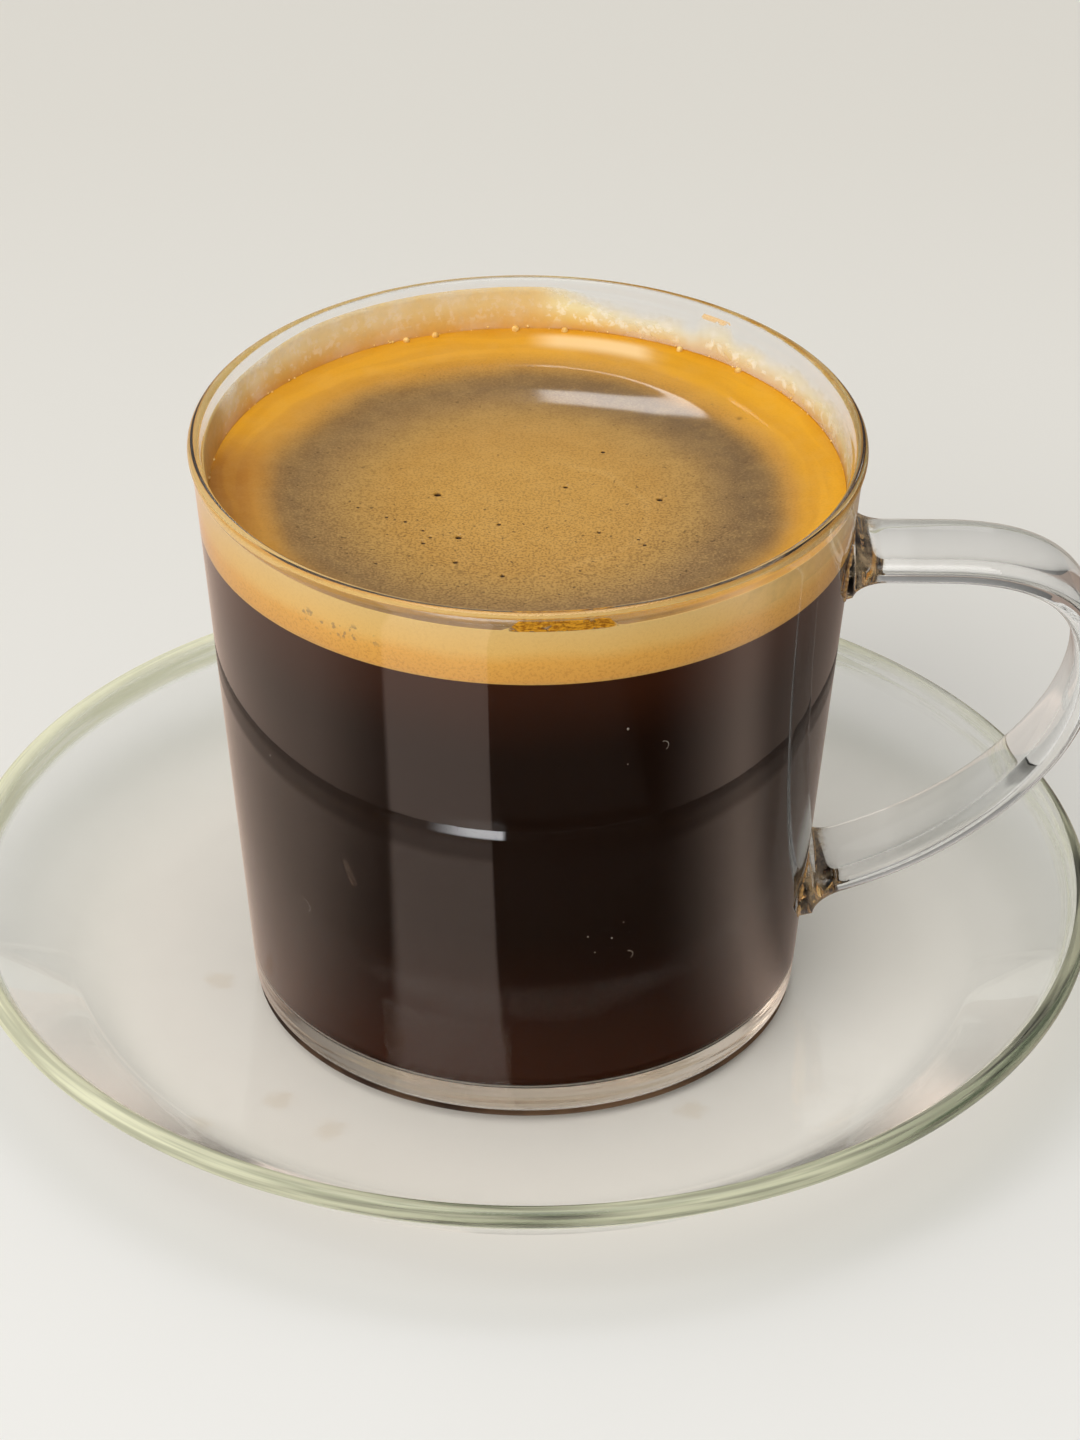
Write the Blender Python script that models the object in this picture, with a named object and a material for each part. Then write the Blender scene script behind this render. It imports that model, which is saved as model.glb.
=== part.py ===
"""A glass cup of black coffee with a golden crema, standing on its glass saucer.

Metres, +Z up. The origin is the middle of the saucer's flat foot, and the cup's
strap handle points along +X. Every piece but the handle is turned about Z.
"""
import math

import bmesh
import bpy
from mathutils import Vector
from mathutils.geometry import interpolate_bezier

# Driving dimensions, in metres
CLEARANCE = 0.0003            # gap between pieces that touch
SEGMENTS = 72                 # steps round a turned piece
LINE_POINTS = 40              # points along the handle's straight arm; its bends have more
HANDLE_RINGS = 30             # rings between the handle's two flared roots
HANDLE_SIDES = 24             # points round the handle's section
CREASE = math.radians(50)     # edges sharper than this stay sharp in the shading

SAUCER_RIM_RADIUS = 0.0681    # to the middle of the rounded rim
SAUCER_RIM_HEIGHT = 0.0142    # middle of the rounded rim above the foot
SAUCER_THICKNESS = 0.0026
SAUCER_SLOPE = math.radians(40)
SAUCER_BEND = 0.0120          # bend from the flat well into the sloping flange

CUP_HEIGHT = 0.0743
CUP_RIM_RADIUS = 0.0400       # outside of the lip
CUP_LIP_FLARE = 0.00037       # how far the lip stands out past the straight wall
CUP_LIP_DEPTH = 0.0040        # stretch below the lip that flares
CUP_LIP_ROUND = 0.0007
CUP_FOOT_RADIUS = 0.03325     # outside of the wall where it meets the rounded corner
CUP_CORNER = 0.0015
CUP_WALL = 0.0015
CUP_FLOOR = 0.0028
CUP_INNER_CORNER = 0.0030

CREMA_TOP = 0.0672            # level of the crema in the middle, above the cup's foot
CREMA_RISE = 0.0007           # climb of the crema where it clings to the wall
CREMA_CLIMB = 0.0020          # width over which the climb fades
CREMA_BOTTOM = 0.0638         # where the crema meets the coffee, above the cup's foot

HANDLE_WIDTH = 0.0124
HANDLE_THICKNESS = 0.0034
HANDLE_FULLNESS = 3.0         # 2 would make the section an ellipse, and more fills its corners
HANDLE_TOP = 0.0590           # height of the level top arm above the cup's foot
HANDLE_BEND_START = 0.0492    # distance from the cup's axis where the top arm turns down
HANDLE_REACH = 0.0670         # distance from the axis to the middle of the outer bend
HANDLE_REACH_HEIGHT = 0.0455
HANDLE_ROOT_HEIGHT = 0.0138   # where the lower arm meets the wall
HANDLE_ROOT_SLOPE = math.radians(15)
HANDLE_TURN_PULL = 0.73       # pull of the top arm on the bend, as a share of the bend's run
HANDLE_DROP_PULL = 0.67       # pull of the outermost point upwards, as a share of the drop
HANDLE_FALL_PULL = 0.26       # pull of the outermost point downwards, as a share of the chord
HANDLE_ROOT_PULL = 0.43       # pull of the lower root, as a share of the chord
HANDLE_FLARE = 0.0022         # how far the welded roots spread at the wall
HANDLE_FLARE_LENGTH = 0.0042

# Places that follow from them
CUP_FOOT = SAUCER_THICKNESS + CLEARANCE
LIP_MIDDLE = CUP_HEIGHT - CUP_LIP_ROUND
WALL_TOP = LIP_MIDDLE - CUP_LIP_DEPTH
WALL_TOP_RADIUS = CUP_RIM_RADIUS - CUP_LIP_FLARE - CUP_LIP_FLARE
WALL_TAPER = (WALL_TOP_RADIUS - CUP_FOOT_RADIUS) / (WALL_TOP - CUP_CORNER)
WALL_LEAN = math.atan(WALL_TAPER)


def clear_scene():
    for old in list(bpy.data.objects):
        bpy.data.objects.remove(old, do_unlink=True)


def finish(name, colour, roughness, transmission=0.0):
    """A plain Principled material of one colour."""
    material = bpy.data.materials.new(name)
    material.use_nodes = True
    shader = material.node_tree.nodes["Principled BSDF"]
    shader.inputs["Base Color"].default_value = (*colour, 1.0)
    shader.inputs["Roughness"].default_value = roughness
    shader.inputs["Metallic"].default_value = 0.0
    shader.inputs["Transmission Weight"].default_value = transmission
    return material


def outer_radius(height):
    """Outside radius of the cup's straight wall at a height above the cup's foot."""
    return CUP_FOOT_RADIUS + WALL_TAPER * (height - CUP_CORNER)


def inner_radius(height):
    """Inside radius of the cup's straight wall at a height above the cup's foot."""
    return outer_radius(height) - CUP_WALL / math.cos(WALL_LEAN)


def arc(middle, radius, start, end, steps):
    """Points (r, z) round an arc; the angles are in degrees from +r towards +z."""
    points = []
    for step in range(steps + 1):
        angle = math.radians(start + (end - start) * step / steps)
        points.append((middle[0] + radius * math.cos(angle), middle[1] + radius * math.sin(angle)))
    return points


def add_object(name, bm, material, height=0.0):
    """Turn a bmesh into a smooth-shaded object, lifted to its height."""
    mesh = bpy.data.meshes.new(name)
    bmesh.ops.recalc_face_normals(bm, faces=bm.faces)
    bm.to_mesh(mesh)
    bm.free()
    mesh.materials.append(material)
    mesh.shade_smooth()
    mesh.set_sharp_from_angle(angle=CREASE)
    obj = bpy.data.objects.new(name, mesh)
    obj.location.z = height
    bpy.context.scene.collection.objects.link(obj)
    return obj


def turned(name, profile, material, height=0.0):
    """Spin an open profile of (r, z) points, both ends on the axis, into a solid."""
    bm = bmesh.new()
    verts = [bm.verts.new((r, 0.0, z)) for r, z in profile]
    edges = [bm.edges.new(pair) for pair in zip(verts, verts[1:])]
    bmesh.ops.spin(bm, geom=verts + edges, cent=(0, 0, 0), axis=(0, 0, 1),
                   angle=math.tau, steps=SEGMENTS, use_merge=True)
    bmesh.ops.remove_doubles(bm, verts=bm.verts, dist=1e-6)
    return add_object(name, bm, material, height)


def saucer_face(side):
    """The saucer's middle line offset to one side (+1 above, -1 below), from bend to rim."""
    offset = side * SAUCER_THICKNESS / 2
    slope = math.degrees(SAUCER_SLOPE)
    middle_height = SAUCER_THICKNESS / 2
    bend_rise = SAUCER_BEND * (1 - math.cos(SAUCER_SLOPE))
    flange_rise = SAUCER_RIM_HEIGHT - middle_height - bend_rise
    flange_run = flange_rise / math.tan(SAUCER_SLOPE)
    well_radius = SAUCER_RIM_RADIUS - flange_run - SAUCER_BEND * math.sin(SAUCER_SLOPE)
    centre = (well_radius, middle_height + SAUCER_BEND)
    bend = arc(centre, SAUCER_BEND - offset, -90, -90 + slope, 6)
    flange_end = (SAUCER_RIM_RADIUS - offset * math.sin(SAUCER_SLOPE),
                  SAUCER_RIM_HEIGHT + offset * math.cos(SAUCER_SLOPE))
    return bend + [flange_end]


def build_saucer(glass):
    """A round dish: flat well, bend, straight flange and a full-round rim."""
    slope = math.degrees(SAUCER_SLOPE)
    rim = arc((SAUCER_RIM_RADIUS, SAUCER_RIM_HEIGHT), SAUCER_THICKNESS / 2,
              slope - 90, slope + 90, 8)
    under = [(0.0, 0.0)] + saucer_face(-1)
    over = saucer_face(1)[::-1] + [(0.0, SAUCER_THICKNESS)]
    return turned("saucer", under[:-1] + rim + over[1:], glass)


def lip_flare(radius, reach):
    """Three points (r, z) up a wall that curves out by reach over the lip's depth."""
    points = []
    for share in (0.0, 0.45, 0.75):
        height = WALL_TOP + share * CUP_LIP_DEPTH
        points.append((radius(height) + reach * share * share, height))
    return points


def cup_profile():
    """Outer corner, wall, rounded lip, inner wall, inner corner and floor."""
    lean = math.degrees(WALL_LEAN)
    lip_radius = CUP_RIM_RADIUS - CUP_LIP_ROUND
    corner = arc((CUP_FOOT_RADIUS - CUP_CORNER, CUP_CORNER), CUP_CORNER, -90, -lean, 5)
    lip = arc((lip_radius, LIP_MIDDLE), CUP_LIP_ROUND, 0, 180, 8)
    outside = [(0.0, 0.0)] + corner + lip_flare(outer_radius, CUP_LIP_FLARE) + lip
    centre_height = CUP_FLOOR + CUP_INNER_CORNER
    centre_radius = inner_radius(centre_height) - CUP_INNER_CORNER
    inner_corner = arc((centre_radius, centre_height), CUP_INNER_CORNER, -lean, -90, 6)
    inside = lip_flare(inner_radius, CUP_LIP_FLARE)[::-1] + inner_corner + [(0.0, CUP_FLOOR)]
    return outside + inside


def rounded(share):
    """A sine or cosine eased to the handle's fullness, with its sign kept."""
    return math.copysign(abs(share) ** (2 / HANDLE_FULLNESS), share)


def strap_section(spread):
    """Points (u, v) round the strap, a superellipse: u across its width, v through it."""
    points = []
    for side in range(HANDLE_SIDES):
        angle = math.tau * (side + 0.5) / HANDLE_SIDES
        points.append(((HANDLE_WIDTH / 2 + spread) * rounded(math.cos(angle)),
                       (HANDLE_THICKNESS / 2 + spread) * rounded(math.sin(angle))))
    return points


def strap_line():
    """Middle line of the handle in the XZ plane, from the top root to the lower one."""
    top_root = Vector((outer_radius(HANDLE_TOP), HANDLE_TOP))
    turn = Vector((HANDLE_BEND_START, HANDLE_TOP))
    reach = Vector((HANDLE_REACH, HANDLE_REACH_HEIGHT))
    low_root = Vector((outer_radius(HANDLE_ROOT_HEIGHT), HANDLE_ROOT_HEIGHT))
    chord = (reach - low_root).length
    slope = Vector((math.cos(HANDLE_ROOT_SLOPE), math.sin(HANDLE_ROOT_SLOPE)))
    out = Vector((HANDLE_TURN_PULL * (HANDLE_REACH - HANDLE_BEND_START), 0.0))
    drop = Vector((0.0, HANDLE_DROP_PULL * (HANDLE_TOP - HANDLE_REACH_HEIGHT)))
    fall = Vector((0.0, HANDLE_FALL_PULL * chord))
    rise = HANDLE_ROOT_PULL * chord * slope
    arm = [top_root.lerp(turn, step / LINE_POINTS) for step in range(LINE_POINTS)]
    upper = interpolate_bezier(turn, turn + out, reach + drop, reach, 2 * LINE_POINTS)
    lower = interpolate_bezier(reach, reach - fall, low_root + rise, low_root, 3 * LINE_POINTS)
    return [Vector(point) for point in arm + upper[:-1] + lower]


def strap_stations(line):
    """Places along the line: (middle, tangent, distance from the nearer root)."""
    lengths = [0.0]
    for near, far in zip(line, line[1:]):
        lengths.append(lengths[-1] + (far - near).length)
    total = lengths[-1]
    root = [HANDLE_FLARE_LENGTH * share for share in (0.0, 0.1, 0.22, 0.38, 0.6, 1.0)]
    free = total - 2 * HANDLE_FLARE_LENGTH
    middle = [HANDLE_FLARE_LENGTH + free * step / HANDLE_RINGS for step in range(1, HANDLE_RINGS)]
    stations = []
    for wanted in root + middle + [total - distance for distance in root[::-1]]:
        index = min(range(len(line)), key=lambda place: abs(lengths[place] - wanted))
        before = line[max(index - 1, 0)]
        after = line[min(index + 1, len(line) - 1)]
        distance = min(lengths[index], total - lengths[index])
        stations.append((line[index], (after - before).normalized(), distance))
    return stations


def strap_ring(bm, station, in_wall):
    """One ring of vertices; a ring in the wall lies on a cone half-way through it."""
    middle, tangent, distance = station
    share = max(0.0, 1.0 - distance / HANDLE_FLARE_LENGTH)
    spread = HANDLE_FLARE * (1.0 - math.sqrt(1.0 - share * share))
    normal = Vector((-tangent.y, tangent.x))
    ring = []
    for across, through in strap_section(spread):
        place = middle + normal * through
        x = place.x
        if in_wall:
            cone = outer_radius(place.y) - CUP_WALL / 2
            x = math.sqrt(cone * cone - across * across)
        ring.append(bm.verts.new((x, across, place.y)))
    return ring


def close_end(bm, ring):
    """Close a ring with strips across its thickness, which follow the wall's curve."""
    count = len(ring)
    for index in range(count // 2 - 1):
        mirrored = count - 1 - index
        bm.faces.new((ring[index], ring[index + 1], ring[mirrored - 1], ring[mirrored]))


def build_handle(glass):
    """The strap handle, swept ring by ring and bridged; its ends lie inside the wall."""
    bm = bmesh.new()
    stations = strap_stations(strap_line())
    last = len(stations) - 1
    rings = []
    loops = []
    for index, station in enumerate(stations):
        ring = strap_ring(bm, station, index in (0, last))
        rings.append(ring)
        loops.append([bm.edges.new(pair) for pair in zip(ring, ring[1:] + ring[:1])])
    for near, far in zip(loops, loops[1:]):
        bmesh.ops.bridge_loops(bm, edges=near + far)
    close_end(bm, rings[0])
    close_end(bm, rings[last])
    handle = add_object("handle_shape", bm, glass, CUP_FOOT)
    handle.hide_render = True
    handle.display_type = "WIRE"
    return handle


def build_cup(glass):
    """The turned cup with its handle welded on: one piece of glass."""
    cup = turned("cup_glass", cup_profile(), glass, CUP_FOOT)
    weld = cup.modifiers.new("weld handle", "BOOLEAN")
    weld.operation = "UNION"
    weld.solver = "EXACT"
    weld.object = build_handle(glass)
    return cup


def build_coffee(liquid):
    """Black coffee, filling the cup up to the crema, clear of the glass."""
    lean = math.degrees(WALL_LEAN)
    radius = CUP_INNER_CORNER - CLEARANCE
    centre_height = CUP_FLOOR + CUP_INNER_CORNER
    centre = (inner_radius(centre_height) - CUP_INNER_CORNER, centre_height)
    top = CREMA_BOTTOM - CLEARANCE / 2
    corner = arc(centre, radius, -90, -lean, 6)
    profile = [(0.0, CUP_FLOOR + CLEARANCE)] + corner
    profile += [(inner_radius(top) - CLEARANCE, top), (0.0, top)]
    return turned("coffee", profile, liquid, CUP_FOOT)


def build_crema(foam):
    """The foam layer: flat below, and above flat in the middle with a climb at the wall."""
    bottom = CREMA_BOTTOM + CLEARANCE / 2
    contact = CREMA_TOP + CREMA_RISE
    edge = inner_radius(contact) - CLEARANCE
    profile = [(0.0, bottom), (inner_radius(bottom) - CLEARANCE, bottom)]
    for inward in (0.0, 0.25, 0.5, 1.0, 1.6, 2.4, 3.4, 5.0):
        fade = math.exp(-inward)
        profile.append((edge - inward * CREMA_CLIMB, CREMA_TOP + CREMA_RISE * fade))
    profile.append((0.0, CREMA_TOP))
    return turned("crema", profile, foam, CUP_FOOT)


def main():
    clear_scene()
    saucer_glass = finish("saucer_glass", (0.86, 0.91, 0.82), 0.02, 0.9)
    cup_glass = finish("clear_glass", (0.93, 0.95, 0.93), 0.02, 0.95)
    coffee = finish("black_coffee", (0.030, 0.012, 0.007), 0.08)
    crema = finish("golden_crema", (0.63, 0.33, 0.10), 0.45)
    build_saucer(saucer_glass)
    build_cup(cup_glass)
    build_coffee(coffee)
    build_crema(crema)


main()
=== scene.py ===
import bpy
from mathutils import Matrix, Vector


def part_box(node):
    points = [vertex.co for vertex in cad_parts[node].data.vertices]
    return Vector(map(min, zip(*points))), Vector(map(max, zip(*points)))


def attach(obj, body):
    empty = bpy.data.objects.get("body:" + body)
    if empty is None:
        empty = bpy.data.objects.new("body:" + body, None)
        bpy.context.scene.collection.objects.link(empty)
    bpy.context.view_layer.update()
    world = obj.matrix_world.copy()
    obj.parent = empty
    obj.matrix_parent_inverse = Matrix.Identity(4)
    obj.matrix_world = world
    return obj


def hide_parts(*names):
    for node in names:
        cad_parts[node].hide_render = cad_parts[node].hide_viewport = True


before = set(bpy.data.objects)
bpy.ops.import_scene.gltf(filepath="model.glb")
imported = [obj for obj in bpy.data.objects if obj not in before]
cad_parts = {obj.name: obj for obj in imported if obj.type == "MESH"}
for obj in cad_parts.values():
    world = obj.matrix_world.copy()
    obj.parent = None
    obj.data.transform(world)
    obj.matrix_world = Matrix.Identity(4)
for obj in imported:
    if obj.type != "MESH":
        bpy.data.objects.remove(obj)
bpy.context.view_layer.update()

# %% Modules and units
import math
import random

import bmesh
import bpy
from mathutils import Matrix, Vector, noise
from mathutils.geometry import interpolate_bezier

MM = 0.001
BODY = "root"
CUP_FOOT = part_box("cup_glass")[0][2]
CUP_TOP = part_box("cup_glass")[1][2]
SAUCER_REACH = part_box("saucer")[1][1]


def mm(*values):
    """Millimetres as metres."""
    return tuple(value * MM for value in values)


print("cup stands at", round(CUP_FOOT / MM, 2), "mm, its lip is at", round(CUP_TOP / MM, 2), "mm")

# %% [markdown]
# ## The camera
# A long lens a good way off keeps the cup's sides nearly parallel. It looks down at
# about 33 degrees, enough to see the crema and the whole front of the glass. The place
# is given as a distance and a rise seen from the middle of the lip, and the aim as a
# pitch with a very small turn and roll. A matrix built from these three is simpler
# than aiming with a constraint, and it stays put when the objects change.
# %% Camera
EYE_DISTANCE = 0.72601
EYE_RISE = math.radians(30.070)
EYE_PITCH = math.radians(32.651)
EYE_YAW = math.radians(0.156)
EYE_ROLL = math.radians(0.510)
LENS = 154.4
LONG_SIDE = 36.0
LIP_ROUND = 0.7 * MM

lip_middle = CUP_TOP - LIP_ROUND
eye = Vector((0.0, -EYE_DISTANCE * math.cos(EYE_RISE), lip_middle + EYE_DISTANCE * math.sin(EYE_RISE)))
ahead = Vector((math.sin(EYE_YAW) * math.cos(EYE_PITCH),
                math.cos(EYE_YAW) * math.cos(EYE_PITCH), -math.sin(EYE_PITCH)))
level = Vector((math.cos(EYE_YAW), -math.sin(EYE_YAW), 0.0))
upright = level.cross(ahead)
right = math.cos(EYE_ROLL) * level + math.sin(EYE_ROLL) * upright
over = math.cos(EYE_ROLL) * upright - math.sin(EYE_ROLL) * level

lens = bpy.data.cameras.new("camera")
lens.lens = LENS
lens.sensor_fit = "AUTO"
lens.sensor_width = LONG_SIDE
lens.clip_start = 0.01
camera = bpy.data.objects.new("camera", lens)
camera.matrix_world = Matrix.Translation(eye) @ Matrix((right, over, -ahead)).transposed().to_4x4()
bpy.context.scene.collection.objects.link(camera)
bpy.context.scene.camera = camera
print("camera at", [round(v, 3) for v in eye])

# %% [markdown]
# ## A small language for finishes
# A material is a net of nodes. Written out node by node it is long and hard to read,
# so one class wraps a socket and lets Python's own signs add the Math nodes, and
# another wraps the net itself. After this, a worn edge or a foam speckle is one line
# of arithmetic. One method adds every other node, and the short methods after it are
# names for the nodes that come up most.
# %% Sums on sockets
class Flow:
    """A value that runs through a net of nodes; sums on it add Math nodes."""

    def __init__(self, net, socket):
        self.net = net
        self.socket = socket

    def __add__(self, other):
        return self.net.math("ADD", self, other)

    def __sub__(self, other):
        return self.net.math("SUBTRACT", self, other)

    def __rsub__(self, other):
        return self.net.math("SUBTRACT", other, self)

    def __mul__(self, other):
        return self.net.math("MULTIPLY", self, other)

    def __truediv__(self, other):
        return self.net.math("DIVIDE", self, other)

    def __pow__(self, other):
        return self.net.math("POWER", self, other)

    __radd__ = __add__
    __rmul__ = __mul__


# %% Nets of nodes
class Net:
    """The nodes of a material or a world, and the ways to add to them."""

    def __init__(self, block):
        block.use_nodes = True
        self.tree = block.node_tree

    def node(self, kind, settings=None, inputs=None, output=0):
        """Add one node: its settings first, then the values or links of its sockets."""
        made = self.tree.nodes.new("ShaderNode" + kind)
        for key, setting in (settings or {}).items():
            setattr(made, key, setting)
        for key, value in (inputs or {}).items():
            if isinstance(value, Flow):
                self.tree.links.new(value.socket, made.inputs[key])
            else:
                made.inputs[key].default_value = value
        return Flow(self, made.outputs[output])

    def lead(self, flow, owner, socket):
        """Link a flow to a node that every such net starts with."""
        self.tree.links.new(flow.socket, self.tree.nodes[owner].inputs[socket])

    def math(self, operation, *values):
        return self.node("Math", {"operation": operation}, dict(enumerate(values)))

    def exactly(self, count, wanted):
        """1 where a whole number is the wanted one, else 0."""
        return self.math("COMPARE", count, wanted, 0.5)

    def ray(self, fact):
        """What is known of the ray that meets the surface, such as its bounces so far."""
        return self.node("LightPath", output=fact)

    def place(self):
        """The point on the piece, in metres, from the frame's own origin."""
        return self.node("TexCoord", output="Object")

    def axes(self, point):
        split = self.node("SeparateXYZ", None, {"Vector": point})
        return [Flow(self, axis) for axis in split.socket.node.outputs]

    def point(self, x=0.0, y=0.0, z=0.0):
        return self.node("CombineXYZ", None, {0: x, 1: y, 2: z})

    def distance(self, point, spot):
        return self.node("VectorMath", {"operation": "DISTANCE"}, {0: point, 1: tuple(spot)}, "Value")

    def clamp(self, value):
        return self.node("Clamp", None, {"Value": value})

    def noise(self, point, scale, detail=2.0, roughness=0.5):
        sockets = {"Vector": point, "Scale": scale, "Detail": detail, "Roughness": roughness}
        return self.node("TexNoise", None, sockets, "Fac")

    def step(self, value, low, high, kind="SMOOTHSTEP"):
        """0 below low, 1 above high, and a soft change between; low may be above high."""
        sockets = {"Value": value, "From Min": low, "From Max": high}
        return self.node("MapRange", {"interpolation_type": kind}, sockets)

    def window(self, value, rise, fall):
        """1 between two soft edges; each edge is (where it is 0, where it is 1)."""
        return self.step(value, *rise) * self.step(value, *fall)

    def blend(self, share, first, second):
        """Colour first where share is 0, second where it is 1."""
        first = first if isinstance(first, Flow) else (*first, 1.0)
        second = second if isinstance(second, Flow) else (*second, 1.0)
        return self.node("Mix", {"data_type": "RGBA"}, {0: share, 6: first, 7: second}, 2)

    def ramp(self, stops, value):
        """A colour that changes as a value goes from 0 to 1; a stop is (place, colour)."""
        flow = self.node("ValToRGB", None, {"Fac": value}, "Color")
        elements = flow.socket.node.color_ramp.elements
        while len(elements) < len(stops):
            elements.new(1.0)
        for element, (place, colour) in zip(elements, stops):
            element.position = place
            element.color = (*colour, 1.0)
        return flow

    def layer(self, share, below, above):
        """One shader laid over another, and seen where share is 1."""
        return self.node("MixShader", None, {0: share, 1: below, 2: above})

    def plain(self, kind, colour, **sockets):
        """A simple shader of one colour."""
        return self.node(kind, None, {"Color": (*colour, 1.0), **sockets})


class Finish(Net):
    """A material with a Principled shader, and the nodes that feed it."""

    def __init__(self, name):
        self.material = bpy.data.materials.new(name)
        super().__init__(self.material)
        self.shader = self.tree.nodes["Principled BSDF"]
        self.body = Flow(self, self.shader.outputs["BSDF"])

    def own(self, name):
        """A number that the piece's mesh carries on its corners."""
        return self.node("Attribute", {"attribute_name": name}, None, "Fac")

    def set(self, **sockets):
        """Put plain numbers, colours or flows on the shader's own sockets."""
        for key, value in sockets.items():
            socket = self.shader.inputs[key.replace("_", " ")]
            if isinstance(value, Flow):
                self.tree.links.new(value.socket, socket)
            else:
                socket.default_value = (*value, 1.0) if socket.type == "RGBA" else value

    def bump(self, height, depth):
        self.set(Normal=self.node("Bump", None, {"Height": height, "Distance": depth, "Strength": 1.0}))


def paint(red, green, blue):
    """A colour given on a 0 to 255 scale, as the linear values a shader wants."""
    linear = []
    for channel in (red, green, blue):
        share = channel / 255
        linear.append(share / 12.92 if share <= 0.04045 else ((share + 0.055) / 1.055) ** 2.4)
    return tuple(linear)


def painted(stops):
    """Ramp stops whose colours are given on a 0 to 255 scale."""
    return [(place, paint(*colour)) for place, colour in stops]


# %% [markdown]
# ## The room
# Clear glass shows the room more than itself. The room is plain and soft, brighter
# overhead and on the left, with three lamps: a large panel overhead, a window in front
# on the left that draws no shine of its own, and a small window behind.
# The table is a pale slab, with painted light on it: lighter in front than at the back,
# paler under the saucer, and darker under the saucer's front rim, a painted shade. The
# cup's wall leans out and so mirrors the slab in front of it. What it mirrors is a
# painted reflection, a glow on the slab: dark straight ahead, with one bright wedge,
# which puts the tall pale stripe down the dark coffee, and lighter towards both sides.
# A ray counts its bounces and the glass it has passed, and only one that bounced once
# off the cup sees this glow, so the table itself doesn't show it. It lies a hair under
# the saucer, because two faces in one plane confuse that count.
# %% Table
BLACK = (0.0, 0.0, 0.0)
# painted light: the slab is lighter in front and darker at the back
TABLE_FRONT_LIT = (0.885, 0.888, 0.880)
TABLE_BACK_SHADED = (0.810, 0.792, 0.745)
# painted light: the table is paler under the saucer, more so on the right
LIGHT_UNDER_GLASS_LEFT = (0.945, 0.915, 0.885)
LIGHT_UNDER_GLASS_RIGHT = (1.04, 1.025, 1.0)
LIGHT_UNDER_GLASS_ACROSS = mm(-45, 55)
LIGHT_UNDER_GLASS_EDGE = mm(66, 44)
OVERHANG = (mm(50, 54), mm(66, 59))
OVERHANG_SHADE = 0.09
TABLE_NEAR = -75 * MM
TABLE_FAR = 230 * MM
TABLE_MOTTLE = 0.12
TABLE_SIZE = 3.0
TABLE_DROP = 0.05 * MM
OVER_SAUCER = 76 * MM
UNDER_SAUCER = 86 * MM
UNDER_HANDLE = mm(50, 60)
SIDE_GLOW = (1.25, 0.95, 0.78)
SIDE_ACROSS = mm(-30, 30)
SIDE_TURN = (0.86, 0.25)
SIDE_DIM = 0.62
RIGHT_DIM = 0.25
STRIPE_GLOW = (1.10, 0.86, 0.74)
STRIPE_LEFT = (Vector((-74.3, -75.6)) * MM, Vector((-21.1, -33.7)) * MM)
STRIPE_RIGHT = (Vector((-2.8, -41.5)) * MM, Vector((-21.7, -107.0)) * MM)
STRIPE_BLURS = mm(2.2, 0.8)
STRIPE_FADE = mm(30, 62)


def right_of(finish, x, y, line, blur):
    """1 to the right of a line on the table, seen along it, and 0 to the left."""
    start, end = line
    along = (end - start).normalized()
    offset = (x - start.x) * along.y - (y - start.y) * along.x
    return finish.step(offset, -blur, blur)


def seen_in_glass(table, x, far):
    """1 for a ray that bounced once off the cup, and passed at most the saucer and handle."""
    passed = table.ray("Transmission Depth")
    under = table.step(far, UNDER_SAUCER, UNDER_SAUCER - 0.2 * MM)
    saucer = table.exactly(passed, 2.0) * under
    handle = table.exactly(passed, under * 2.0 + 2.0) * table.step(x, *UNDER_HANDLE)
    beyond = table.exactly(passed, 0.0) * table.step(far, OVER_SAUCER - 2 * MM, OVER_SAUCER)
    return table.exactly(table.ray("Glossy Depth"), 1.0) * (beyond + saucer + handle)


def slab_colour(table, x, y, far):
    """The table as the eye sees it, with painted light and shade: lighter in front, paler under the saucer,
    and darker under its front rim.
    """
    # painted light: lighter in front, darker at the back
    slab = table.blend(table.step(y, TABLE_NEAR, TABLE_FAR, "LINEAR"), TABLE_FRONT_LIT, TABLE_BACK_SHADED)
    mottle = table.step(table.noise(table.place(), 9.0, 4.0), 0.3, 0.7)
    mottled = table.blend(mottle * TABLE_MOTTLE, slab, TABLE_BACK_SHADED)
    # painted light: paler under the saucer
    under = table.blend(table.step(x, *LIGHT_UNDER_GLASS_ACROSS), LIGHT_UNDER_GLASS_LEFT, LIGHT_UNDER_GLASS_RIGHT)
    lit_under_glass = table.blend(table.step(far, *LIGHT_UNDER_GLASS_EDGE), mottled, under)
    # painted shade under the saucer's front rim
    overhang = table.window(far, *OVERHANG) * table.step(y, 0.0, -20 * MM)
    return table.blend(overhang * OVERHANG_SHADE, lit_under_glass, BLACK)


def mirror_glow(table, x, y, far):
    """Painted reflection: the glow the cup's side mirrors from the table, dark ahead, a wedge, and lighter
    sides.
    """
    forward = y / (far + 0.001) * -1.0
    rightward = table.step(x, *SIDE_ACROSS)
    side = table.step(forward + rightward * 0.08, *SIDE_TURN)
    behind_right = table.step(forward, 0.35, 0.0) * table.step(x, 0.0, 20 * MM)
    across = rightward * (1.0 - SIDE_DIM) + SIDE_DIM
    dimmed = side * across * (1.0 - behind_right * (1.0 - RIGHT_DIM))
    left, right = STRIPE_BLURS
    stripe = right_of(table, x, y, STRIPE_LEFT, left) * right_of(table, x, y, STRIPE_RIGHT, right)
    fade = table.step(far, *STRIPE_FADE) * 0.55 + 0.45
    wedge = stripe * table.step(y, 0.0, -10 * MM) * fade
    return table.blend(wedge, table.blend(dimmed, BLACK, SIDE_GLOW), STRIPE_GLOW)


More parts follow.
